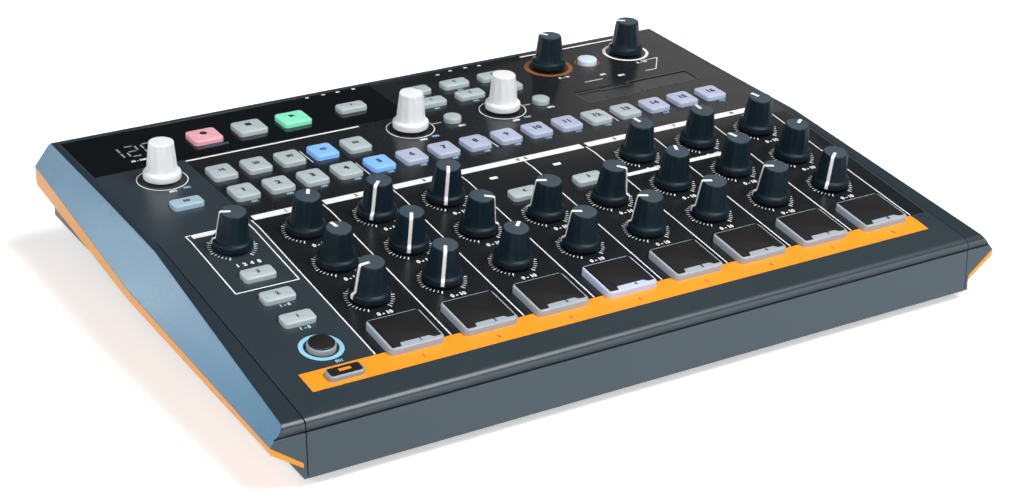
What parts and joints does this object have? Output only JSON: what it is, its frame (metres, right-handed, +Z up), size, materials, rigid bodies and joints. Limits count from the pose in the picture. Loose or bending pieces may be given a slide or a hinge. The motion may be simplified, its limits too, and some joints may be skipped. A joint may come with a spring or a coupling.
{
  "type": "drum machine",
  "caption": "Tabletop analogue drum machine with a bent control panel, faceted side cheeks, turning dials, sprung pads and keys, and rear connectors.",
  "frame": {"origin": "on the table, under the middle of the machine's box", "axes": "+X to the player's right, +Y to the back of the machine, +Z up"},
  "size_m": [0.316, 0.2238, 0.0584],
  "materials": {
    "case_paint": "satin slate-blue case with printed markings",
    "cheek_plastic": "satin steel-blue side cheeks",
    "orange_plastic": "bright orange trim",
    "black_plastic": "fine-grained black",
    "circuit_board": "green solder mask",
    "control_metal": "satin",
    "silicone": "translucent grey silicone",
    "foot_rubber": "matt black rubber",
    "screw_steel": "blackened steel",
    "smoked_lens": "gloss black, smoked",
    "touch_film": "gloss dark film",
    "socket_plastic": "moulded black",
    "shell_metal": "tinned steel shell",
    "rocker_plastic": "moulded black",
    "key_plastic": "translucent light grey key caps",
    "pad_rubber": "black pad over a translucent grey base",
    "dial_plastic": "soft blue-black",
    "encoder_plastic": "soft white"
  },
  "bodies": {
    "case": {"top_case": "case_paint", "bottom_case": "black_plastic", "left_cheek": "cheek_plastic", "right_cheek": "cheek_plastic", "side_trims": "orange_plastic", "front_board": "circuit_board", "rear_board": "circuit_board", "jack_board": "circuit_board", "rotary_controls": "control_metal", "key_mats": "silicone", "rubber_feet": "foot_rubber", "case_screws": "screw_steel", "display": "smoked_lens", "touch_strip": "touch_film", "midi_sockets": "socket_plastic", "audio_jacks": "socket_plastic", "usb_socket": "shell_metal", "power_inlet": "socket_plastic"},
    "power_rocker": {"power_rocker": "rocker_plastic"},
    "step_keys": {"step_keys": "key_plastic"},
    "mode_keys": {"mode_keys": "key_plastic"},
    "transport_keys": {"transport_keys": "key_plastic"},
    "rear_function_keys": {"rear_function_keys": "key_plastic"},
    "front_function_keys": {"front_function_keys": "key_plastic"},
    "pad_1": {"pad_1": "pad_rubber"},
    "pad_2": {"pad_2": "pad_rubber"},
    "pad_3": {"pad_3": "pad_rubber"},
    "pad_4": {"pad_4": "pad_rubber"},
    "pad_5": {"pad_5": "pad_rubber"},
    "pad_6": {"pad_6": "pad_rubber"},
    "pad_7": {"pad_7": "pad_rubber"},
    "pad_8": {"pad_8": "pad_rubber"},
    "metronome_dial": {"metronome_dial": "dial_plastic"},
    "dial_1_back": {"dial_1_back": "dial_plastic"},
    "dial_1_middle": {"dial_1_middle": "dial_plastic"},
    "dial_1_front": {"dial_1_front": "dial_plastic"},
    "dial_2_back": {"dial_2_back": "dial_plastic"},
    "dial_2_middle": {"dial_2_middle": "dial_plastic"},
    "dial_2_front": {"dial_2_front": "dial_plastic"},
    "dial_3_back": {"dial_3_back": "dial_plastic"},
    "dial_3_middle": {"dial_3_middle": "dial_plastic"},
    "dial_3_front": {"dial_3_front": "dial_plastic"},
    "dial_4_middle": {"dial_4_middle": "dial_plastic"},
    "dial_4_front": {"dial_4_front": "dial_plastic"},
    "dial_5_middle": {"dial_5_middle": "dial_plastic"},
    "dial_5_front": {"dial_5_front": "dial_plastic"},
    "dial_6_back": {"dial_6_back": "dial_plastic"},
    "dial_6_middle": {"dial_6_middle": "dial_plastic"},
    "dial_6_front": {"dial_6_front": "dial_plastic"},
    "dial_7_back": {"dial_7_back": "dial_plastic"},
    "dial_7_middle": {"dial_7_middle": "dial_plastic"},
    "dial_7_front": {"dial_7_front": "dial_plastic"},
    "dial_8_back": {"dial_8_back": "dial_plastic"},
    "dial_8_middle": {"dial_8_middle": "dial_plastic"},
    "dial_8_front": {"dial_8_front": "dial_plastic"},
    "distortion_dial": {"distortion_dial": "dial_plastic"},
    "volume_dial": {"volume_dial": "dial_plastic"},
    "tempo_encoder": {"tempo_encoder": "encoder_plastic"},
    "swing_encoder": {"swing_encoder": "encoder_plastic"},
    "random_encoder": {"random_encoder": "encoder_plastic"}
  },
  "joints": [
    {"name": "power_rocker_tip", "type": "hinge", "parent": "case", "child": "power_rocker", "pos_m": [0.125, 0.1065, 0.02774], "axis": [0, -0.0349, 0.9994], "range_deg": [0, 16]},
    {"name": "step_keys_press", "type": "slide", "parent": "case", "child": "step_keys", "axis": [0, -0.0349, 0.9994], "range_m": [-0.0012, 0], "stiffness_N_per_m": 2000, "springref_m": 0.0004},
    {"name": "mode_keys_press", "type": "slide", "parent": "case", "child": "mode_keys", "axis": [0, -0.0349, 0.9994], "range_m": [-0.0012, 0], "stiffness_N_per_m": 2000, "springref_m": 0.0004},
    {"name": "transport_keys_press", "type": "slide", "parent": "case", "child": "transport_keys", "axis": [0, -0.0349, 0.9994], "range_m": [-0.0012, 0], "stiffness_N_per_m": 2000, "springref_m": 0.0004},
    {"name": "rear_function_keys_press", "type": "slide", "parent": "case", "child": "rear_function_keys", "axis": [0, -0.0349, 0.9994], "range_m": [-0.0012, 0], "stiffness_N_per_m": 2000, "springref_m": 0.0004},
    {"name": "front_function_keys_press", "type": "slide", "parent": "case", "child": "front_function_keys", "axis": [0, -0.1305, 0.9914], "range_m": [-0.0012, 0], "stiffness_N_per_m": 2000, "springref_m": 0.0004},
    {"name": "pad_1_press", "type": "slide", "parent": "case", "child": "pad_1", "axis": [0, -0.1305, 0.9914], "range_m": [-0.0012, 0], "stiffness_N_per_m": 1500, "springref_m": 0.0004},
    {"name": "pad_2_press", "type": "slide", "parent": "case", "child": "pad_2", "axis": [0, -0.1305, 0.9914], "range_m": [-0.0012, 0], "stiffness_N_per_m": 1500, "springref_m": 0.0004},
    {"name": "pad_3_press", "type": "slide", "parent": "case", "child": "pad_3", "axis": [0, -0.1305, 0.9914], "range_m": [-0.0012, 0], "stiffness_N_per_m": 1500, "springref_m": 0.0004},
    {"name": "pad_4_press", "type": "slide", "parent": "case", "child": "pad_4", "axis": [0, -0.1305, 0.9914], "range_m": [-0.0012, 0], "stiffness_N_per_m": 1500, "springref_m": 0.0004},
    {"name": "pad_5_press", "type": "slide", "parent": "case", "child": "pad_5", "axis": [0, -0.1305, 0.9914], "range_m": [-0.0012, 0], "stiffness_N_per_m": 1500, "springref_m": 0.0004},
    {"name": "pad_6_press", "type": "slide", "parent": "case", "child": "pad_6", "axis": [0, -0.1305, 0.9914], "range_m": [-0.0012, 0], "stiffness_N_per_m": 1500, "springref_m": 0.0004},
    {"name": "pad_7_press", "type": "slide", "parent": "case", "child": "pad_7", "axis": [0, -0.1305, 0.9914], "range_m": [-0.0012, 0], "stiffness_N_per_m": 1500, "springref_m": 0.0004},
    {"name": "pad_8_press", "type": "slide", "parent": "case", "child": "pad_8", "axis": [0, -0.1305, 0.9914], "range_m": [-0.0012, 0], "stiffness_N_per_m": 1500, "springref_m": 0.0004},
    {"name": "metronome_dial_turn", "type": "hinge", "parent": "case", "child": "metronome_dial", "pos_m": [-0.12, -0.00471, 0.03887], "axis": [0, -0.1305, 0.9914], "range_deg": [-220, 80]},
    {"name": "dial_1_back_turn", "type": "hinge", "parent": "case", "child": "dial_1_back", "pos_m": [-0.09, -0.00471, 0.03887], "axis": [0, -0.1305, 0.9914], "range_deg": [-120, 180]},
    {"name": "dial_1_middle_turn", "type": "hinge", "parent": "case", "child": "dial_1_middle", "pos_m": [-0.09, -0.0295, 0.0356], "axis": [0, -0.1305, 0.9914], "range_deg": [-162, 138]},
    {"name": "dial_1_front_turn", "type": "hinge", "parent": "case", "child": "dial_1_front", "pos_m": [-0.09, -0.05429, 0.03234], "axis": [0, -0.1305, 0.9914], "range_deg": [-245, 55]},
    {"name": "dial_2_back_turn", "type": "hinge", "parent": "case", "child": "dial_2_back", "pos_m": [-0.06, -0.00471, 0.03887], "axis": [0, -0.1305, 0.9914], "range_deg": [-285, 15]},
    {"name": "dial_2_middle_turn", "type": "hinge", "parent": "case", "child": "dial_2_middle", "pos_m": [-0.06, -0.0295, 0.0356], "axis": [0, -0.1305, 0.9914], "range_deg": [-300, 0]},
    {"name": "dial_2_front_turn", "type": "hinge", "parent": "case", "child": "dial_2_front", "pos_m": [-0.06, -0.05429, 0.03234], "axis": [0, -0.1305, 0.9914], "range_deg": [-300, 0]},
    {"name": "dial_3_back_turn", "type": "hinge", "parent": "case", "child": "dial_3_back", "pos_m": [-0.03, -0.00471, 0.03887], "axis": [0, -0.1305, 0.9914], "range_deg": [-300, 0]},
    {"name": "dial_3_middle_turn", "type": "hinge", "parent": "case", "child": "dial_3_middle", "pos_m": [-0.03, -0.0295, 0.0356], "axis": [0, -0.1305, 0.9914], "range_deg": [-25, 275]},
    {"name": "dial_3_front_turn", "type": "hinge", "parent": "case", "child": "dial_3_front", "pos_m": [-0.03, -0.05429, 0.03234], "axis": [0, -0.1305, 0.9914], "range_deg": [-105, 195]},
    {"name": "dial_4_middle_turn", "type": "hinge", "parent": "case", "child": "dial_4_middle", "pos_m": [0, -0.0295, 0.0356], "axis": [0, -0.1305, 0.9914], "range_deg": [-218, 82]},
    {"name": "dial_4_front_turn", "type": "hinge", "parent": "case", "child": "dial_4_front", "pos_m": [0, -0.05429, 0.03234], "axis": [0, -0.1305, 0.9914], "range_deg": [-215, 85]},
    {"name": "dial_5_middle_turn", "type": "hinge", "parent": "case", "child": "dial_5_middle", "pos_m": [0.03, -0.0295, 0.0356], "axis": [0, -0.1305, 0.9914], "range_deg": [-10, 290]},
    {"name": "dial_5_front_turn", "type": "hinge", "parent": "case", "child": "dial_5_front", "pos_m": [0.03, -0.05429, 0.03234], "axis": [0, -0.1305, 0.9914], "range_deg": [-215, 85]},
    {"name": "dial_6_back_turn", "type": "hinge", "parent": "case", "child": "dial_6_back", "pos_m": [0.06, -0.00471, 0.03887], "axis": [0, -0.1305, 0.9914], "range_deg": [-160, 140]},
    {"name": "dial_6_middle_turn", "type": "hinge", "parent": "case", "child": "dial_6_middle", "pos_m": [0.06, -0.0295, 0.0356], "axis": [0, -0.1305, 0.9914], "range_deg": [-130, 170]},
    {"name": "dial_6_front_turn", "type": "hinge", "parent": "case", "child": "dial_6_front", "pos_m": [0.06, -0.05429, 0.03234], "axis": [0, -0.1305, 0.9914], "range_deg": [-218, 82]},
    {"name": "dial_7_back_turn", "type": "hinge", "parent": "case", "child": "dial_7_back", "pos_m": [0.09, -0.00471, 0.03887], "axis": [0, -0.1305, 0.9914], "range_deg": [-150, 150]},
    {"name": "dial_7_middle_turn", "type": "hinge", "parent": "case", "child": "dial_7_middle", "pos_m": [0.09, -0.0295, 0.0356], "axis": [0, -0.1305, 0.9914], "range_deg": [-170, 130]},
    {"name": "dial_7_front_turn", "type": "hinge", "parent": "case", "child": "dial_7_front", "pos_m": [0.09, -0.05429, 0.03234], "axis": [0, -0.1305, 0.9914], "range_deg": [-215, 85]},
    {"name": "dial_8_back_turn", "type": "hinge", "parent": "case", "child": "dial_8_back", "pos_m": [0.12, -0.00471, 0.03887], "axis": [0, -0.1305, 0.9914], "range_deg": [-170, 130]},
    {"name": "dial_8_middle_turn", "type": "hinge", "parent": "case", "child": "dial_8_middle", "pos_m": [0.12, -0.0295, 0.0356], "axis": [0, -0.1305, 0.9914], "range_deg": [-95, 205]},
    {"name": "dial_8_front_turn", "type": "hinge", "parent": "case", "child": "dial_8_front", "pos_m": [0.12, -0.05429, 0.03234], "axis": [0, -0.1305, 0.9914], "range_deg": [-278, 22]},
    {"name": "distortion_dial_turn", "type": "hinge", "parent": "case", "child": "distortion_dial", "pos_m": [0.0775, 0.09006, 0.04297], "axis": [0, -0.0349, 0.9994], "range_deg": [-185, 115]},
    {"name": "volume_dial_turn", "type": "hinge", "parent": "case", "child": "volume_dial", "pos_m": [0.1187, 0.09006, 0.04297], "axis": [0, -0.0349, 0.9994], "range_deg": [-205, 95]},
    {"name": "tempo_encoder_turn", "type": "hinge", "parent": "case", "child": "tempo_encoder", "pos_m": [-0.12, 0.05848, 0.04187], "axis": [0, -0.0349, 0.9994], "continuous": true},
    {"name": "swing_encoder_turn", "type": "hinge", "parent": "case", "child": "swing_encoder", "pos_m": [-0.01, 0.05848, 0.04187], "axis": [0, -0.0349, 0.9994], "continuous": true},
    {"name": "random_encoder_turn", "type": "hinge", "parent": "case", "child": "random_encoder", "pos_m": [0.0344, 0.05848, 0.04187], "axis": [0, -0.0349, 0.9994], "continuous": true}
  ]
}
